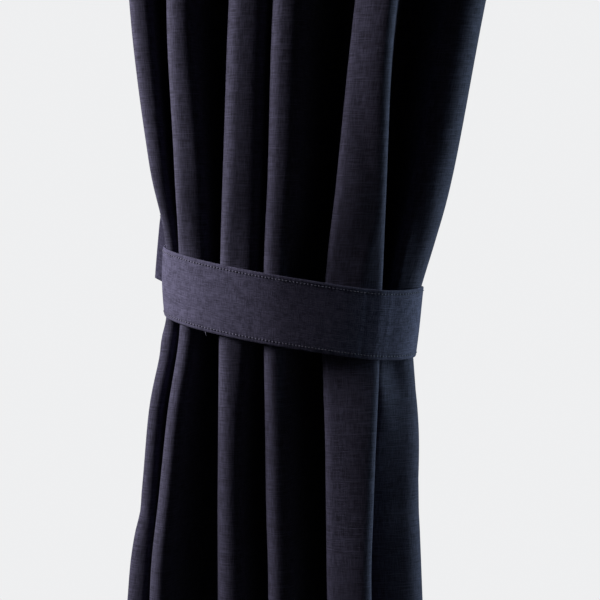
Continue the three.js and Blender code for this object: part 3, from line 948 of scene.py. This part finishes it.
foot_spot, foot_face = on_band(np.array([along_at_front(THREAD_END_X)]), -1, np.array([0.0]))
thread_curve = bpy.data.curves.new("thread_end", "CURVE")
thread_curve.dimensions = "3D"
thread_curve.bevel_depth = THREAD_RADIUS * MM
thread_curve.bevel_resolution = 1
thread_curve.use_fill_caps = True
thread_curve.resolution_u = 4
spline = thread_curve.splines.new("NURBS")
spline.points.add(len(THREAD_END_POINTS) - 1)
spline.use_endpoint_u = True
for point, (right, out, up) in zip(spline.points, THREAD_END_POINTS):
    place = foot_spot[0] + foot_face[0] * out + np.array([right, 0, up]) + WAIST_SHIFT
    point.co = (*(place * MM), 1)
thread_end = bpy.data.objects.new("thread_end", thread_curve)
bpy.context.scene.collection.objects.link(thread_end)
select_only(thread_end)
bpy.ops.object.convert(target="MESH")
stitches.select_set(True)
bpy.context.view_layer.objects.active = stitches
bpy.ops.object.join()
print("stitches with the thread end", len(stitches.data.polygons), "faces")

# %% [markdown]
# ## Nodes of a finish
#
# A finish is a graph of nodes, which can also be drawn by hand in the shader editor. In a script a few
# helpers keep it readable: they start a finish, make a node, wire two sockets, compute, and mix two shades.

# %% Nodes of a finish


def new_finish(name):
    material = bpy.data.materials.new(name)
    material.use_nodes = True
    return material, material.node_tree, material.node_tree.nodes["Principled BSDF"]


def new_node(tree, kind, inputs=None, **settings):
    node = tree.nodes.new(kind)
    for name, value in settings.items():
        setattr(node, name, value)
    for name, value in (inputs or {}).items():
        node.inputs[name].default_value = value
    return node


def join(tree, source, target, socket):
    tree.links.new(source, target.inputs[socket])


def arithmetic(tree, operation, first, second):
    """A sum or product of two sockets, or of a socket and a number."""
    node = new_node(tree, "ShaderNodeMath", operation=operation)
    for k, value in enumerate((first, second)):
        if isinstance(value, (int, float)):
            node.inputs[k].default_value = value
        else:
            tree.links.new(value, node.inputs[k])
    return node.outputs[0]


def remapped(tree, value, limits):
    node = new_node(tree, "ShaderNodeMapRange", limits)
    join(tree, value, node, "Value")
    return node.outputs["Result"]


def shaded(tree, share, dark, light):
    mix = new_node(tree, "ShaderNodeMix", {"A": (*dark, 1), "B": (*light, 1)}, data_type="RGBA")
    join(tree, share, mix, "Factor")
    return mix.outputs["Result"]


print("materials before the new finishes", [m.name for m in bpy.data.materials])

# %% [markdown]
# ## Threads and streaks
#
# Slub yarn is spun unevenly, so thick and thin stretches show as short streaks along both ways of the
# cloth. They could be painted, but noise that is stretched along the threads looks the same and never
# repeats. The plain weave itself is a fine wave each way.

# %% Threads and streaks
THREAD_PITCH = 0.9
THREAD_WANDER = 0.6
# A wave texture of scale 1 repeats after this length
WAVE_PERIOD = 0.31416
STREAK_DETAIL = 2.5
STREAK_ROUGHNESS = 0.6


def cloth_millimetres(tree):
    """Place in the flat cloth, from the piece's own UV map."""
    uv = new_node(tree, "ShaderNodeUVMap", uv_map="cloth")
    to_mm = new_node(tree, "ShaderNodeMapping", {"Scale": (UV_SPAN, UV_SPAN, 1)})
    join(tree, uv.outputs["UV"], to_mm, "Vector")
    return to_mm.outputs["Vector"]


def streaks(tree, cloth_mm, size_x, size_y):
    stretch = new_node(tree, "ShaderNodeMapping", {"Scale": (1 / size_x, 1 / size_y, 1)})
    join(tree, cloth_mm, stretch, "Vector")
    noise = new_node(tree, "ShaderNodeTexNoise",
                     {"Scale": 1, "Detail": STREAK_DETAIL, "Roughness": STREAK_ROUGHNESS})
    join(tree, stretch.outputs["Vector"], noise, "Vector")
    return noise.outputs["Fac"]


def threads(tree, cloth_mm, direction):
    wave = new_node(tree, "ShaderNodeTexWave",
                    {"Scale": WAVE_PERIOD / THREAD_PITCH, "Distortion": THREAD_WANDER, "Detail": 1},
                    wave_type="BANDS", bands_direction=direction)
    join(tree, cloth_mm, wave, "Vector")
    return wave.outputs["Fac"]


print("plain weave with a thread every", THREAD_PITCH, "mm")

# %% [markdown]
# ## Slub weave
#
# The streaks of both ways, a few longer slubs and a soft cloudy mottle shade the cloth from dark to light.
# The same streaks and the weave raise its surface. An image of cloth would repeat and blur close up, and
# this does not. It reads the cloth's own UV map, so it bends with the folds. A little sheen stands for
# loose fibres.

# %% Slub weave
STREAK_ACROSS = 0.95
SLUB_ACROSS = 1.1
SLUB_ALONG = 50
SLUB_RANGE = {"From Min": 0.59, "From Max": 0.74}
SLUB_WEIGHT = 0.8
MOTTLE_SIZE = 9
SHADE_FROM = 0.79
SHADE_TO = 1.24
DULL_RANGE = {"To Min": 0.95, "To Max": 0.8}
WEAVE_WEIGHT = 0.3
BUMP_STRENGTH = 0.6
BUMP_HEIGHT = 0.45
CLOTH_GLOSS = {"Specular IOR Level": 0.2, "Sheen Weight": 0.08, "Sheen Roughness": 0.5,
               "Sheen Tint": (0.75, 0.75, 0.95, 1)}


def slub_weave(name, dark, light, streak, mottle):
    material, tree, shader = new_finish(name)
    cloth_mm = cloth_millimetres(tree)
    warp = streaks(tree, cloth_mm, STREAK_ACROSS, streak)
    weft = streaks(tree, cloth_mm, streak, STREAK_ACROSS)
    thick = remapped(tree, streaks(tree, cloth_mm, SLUB_ALONG, SLUB_ACROSS), SLUB_RANGE)
    uneven = arithmetic(tree, "ADD", warp, weft)
    slub = arithmetic(tree, "ADD", uneven, arithmetic(tree, "MULTIPLY", thick, SLUB_WEIGHT))

    cloudy = arithmetic(tree, "MULTIPLY", streaks(tree, cloth_mm, MOTTLE_SIZE, MOTTLE_SIZE), mottle)
    shade = remapped(tree, arithmetic(tree, "ADD", slub, cloudy),
                     {"From Min": SHADE_FROM + mottle / 2, "From Max": SHADE_TO + mottle / 2})
    join(tree, shaded(tree, shade, dark, light), shader, "Base Color")
    join(tree, remapped(tree, warp, DULL_RANGE), shader, "Roughness")

    weave = arithmetic(tree, "MULTIPLY", threads(tree, cloth_mm, "X"), threads(tree, cloth_mm, "Y"))
    ripple = arithmetic(tree, "ADD", arithmetic(tree, "MULTIPLY", weave, WEAVE_WEIGHT), weft)
    bump = new_node(tree, "ShaderNodeBump", {"Strength": BUMP_STRENGTH, "Distance": BUMP_HEIGHT * MM})
    join(tree, arithmetic(tree, "ADD", slub, ripple), bump, "Height")
    join(tree, bump.outputs["Normal"], shader, "Normal")

    for socket, value in CLOTH_GLOSS.items():
        shader.inputs[socket].default_value = value
    print(name, len(tree.nodes), "nodes")
    return material


curtain_weave = slub_weave("curtain_slub_weave", dark=(0.020, 0.018, 0.033), light=(0.072, 0.067, 0.114),
                           streak=15, mottle=0.25)
# Same cloth as the curtain, with both shades set lighter: painted light for the brighter light on the strap
strap_weave_painted_light = slub_weave("strap_slub_weave_painted_light", dark=(0.046, 0.042, 0.074), light=(0.112, 0.104, 0.173),
                         streak=9, mottle=0.7)
panel.data.materials.append(curtain_weave)
band.data.materials.append(strap_weave_painted_light)

# %% [markdown]
# ## Sewing thread
#
# The thread is a shade lighter than the cloth and slightly glossy. Its twist could be modelled as two
# strands, but on stitches this small a slanted wave with painted shade in the grooves between the strands
# shows the same fine lines.

# %% Sewing thread
THREAD_COLOUR = (0.15, 0.143, 0.205)
TWIST_GROOVE_PAINTED_SHADE = 0.7
TWIST_PITCH = 0.5
TWIST_SLANT = (0, 0.6, 0.5)
THREAD_ROUGHNESS = 0.55


def sewing_thread(name):
    material, tree, shader = new_finish(name)
    place = new_node(tree, "ShaderNodeTexCoord")
    slanted = new_node(tree, "ShaderNodeMapping", {"Rotation": TWIST_SLANT})
    join(tree, place.outputs["Object"], slanted, "Vector")
    twist = new_node(tree, "ShaderNodeTexWave", {"Scale": WAVE_PERIOD / (TWIST_PITCH * MM)},
                     wave_type="BANDS")
    join(tree, slanted.outputs["Vector"], twist, "Vector")
    # The darker bands are painted shade for the grooves between the twisted strands
    dark = [TWIST_GROOVE_PAINTED_SHADE * c for c in THREAD_COLOUR]
    join(tree, shaded(tree, twist.outputs["Fac"], dark, THREAD_COLOUR), shader, "Base Color")
    shader.inputs["Roughness"].default_value = THREAD_ROUGHNESS
    print(name, len(tree.nodes), "nodes")
    return material


stitches.data.materials.clear()
stitches.data.materials.append(sewing_thread("stitch_thread"))

# %% [markdown]
# ## Light
#
# Soft light from far on the left rakes across the folds, so that each nose is lit on one side and its
# hollow stays dark. A cooler light stands on the right, a little behind, and draws a rim along the leading
# edge. A weak light behind shows the back. Light from the front would be simpler, but it would flatten the
# folds.

# %% Lights


def soft_light(name, azimuth, elevation, distance, size, power, colour):
    """A panel of light aimed at the band; azimuth is from the camera's side, positive to the right."""
    a, e = np.radians((azimuth, elevation))
    way = Vector((np.sin(a) * np.cos(e), -np.cos(a) * np.cos(e), np.sin(e)))
    bpy.ops.object.select_all(action="DESELECT")
    bpy.ops.object.light_add(type="AREA", location=AIM + way * distance,
                             rotation=way.to_track_quat("Z", "Y").to_euler())
    light = bpy.context.object
    light.name = name
    light.data.shape = "RECTANGLE"
    light.data.size, light.data.size_y = size
    light.data.energy = power
    light.data.color = colour
    light.visible_camera = False
    print(name, power, "W")


soft_light("raking_light", azimuth=-89, elevation=28, distance=1.7, size=(0.9, 0.8), power=52,
           colour=(1, 0.98, 1))
soft_light("rim_light", azimuth=104, elevation=6, distance=2.4, size=(1.2, 2.0), power=56,
           colour=(0.66, 0.9, 1))
soft_light("back_light", azimuth=180, elevation=12, distance=2.4, size=(0.8, 1.6), power=26,
           colour=(0.9, 0.94, 1))

# %% [markdown]
# ## Stage
#
# The floor is pale and lies just below the hem. The surroundings look pale but give the cloth little light
# of their own, because light from all sides would fill the hollows. Neither is part of the object.

# %% Floor
FLOOR_SIZE = 2.8
FLOOR_GAP = 20
FLOOR_COLOUR = (0.7, 0.7, 0.71, 1)
FLOOR_ROUGHNESS = 0.7

bpy.ops.object.select_all(action="DESELECT")
bpy.ops.mesh.primitive_plane_add(size=FLOOR_SIZE, location=(0, 0, -(CLOTH_LENGTH + FLOOR_GAP) * MM))
floor = bpy.context.object
floor.name = "floor"
floor_paint, _, paint_shader = new_finish("pale_floor")
paint_shader.inputs["Base Color"].default_value = FLOOR_COLOUR
paint_shader.inputs["Roughness"].default_value = FLOOR_ROUGHNESS
floor.data.materials.append(floor_paint)
floor.visible_diffuse = False
print("floor", round(floor.location.z, 2), "m from the top edge")

# %% Surroundings
GLOW_COLOUR = (0.9, 0.94, 1, 1)
GLOW_STRENGTH = 0.015
BACKDROP_COLOUR = (0.86, 0.865, 0.875, 1)

world = bpy.data.worlds.new("pale_surroundings")
world.use_nodes = True
bpy.context.scene.world = world
air = world.node_tree
glow = air.nodes["Background"]
glow.inputs["Color"].default_value = GLOW_COLOUR
glow.inputs["Strength"].default_value = GLOW_STRENGTH
seen = new_node(air, "ShaderNodeBackground", {"Color": BACKDROP_COLOUR})
rays = new_node(air, "ShaderNodeLightPath")
choose = new_node(air, "ShaderNodeMixShader")
for socket, source in enumerate((rays.outputs["Is Camera Ray"], glow.outputs[0], seen.outputs[0])):
    join(air, source, choose, socket)
join(air, choose.outputs[0], air.nodes["World Output"], "Surface")
bpy.context.scene.view_settings.view_transform = "Standard"
print("surroundings glow at", GLOW_STRENGTH)

# %% [markdown]
# ## Pieces on the body
#
# Each new piece rides on the one body. The panel and the strap stand for their solids, which are hidden.

# %% Pieces on the body
for piece, node, slot in ((panel, "curtain_panel", "curtain_cloth"),
                          (band, "tieback_band", "tieback_cloth")):
    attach(piece, "root")
    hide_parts(node)
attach(stitches, "root")
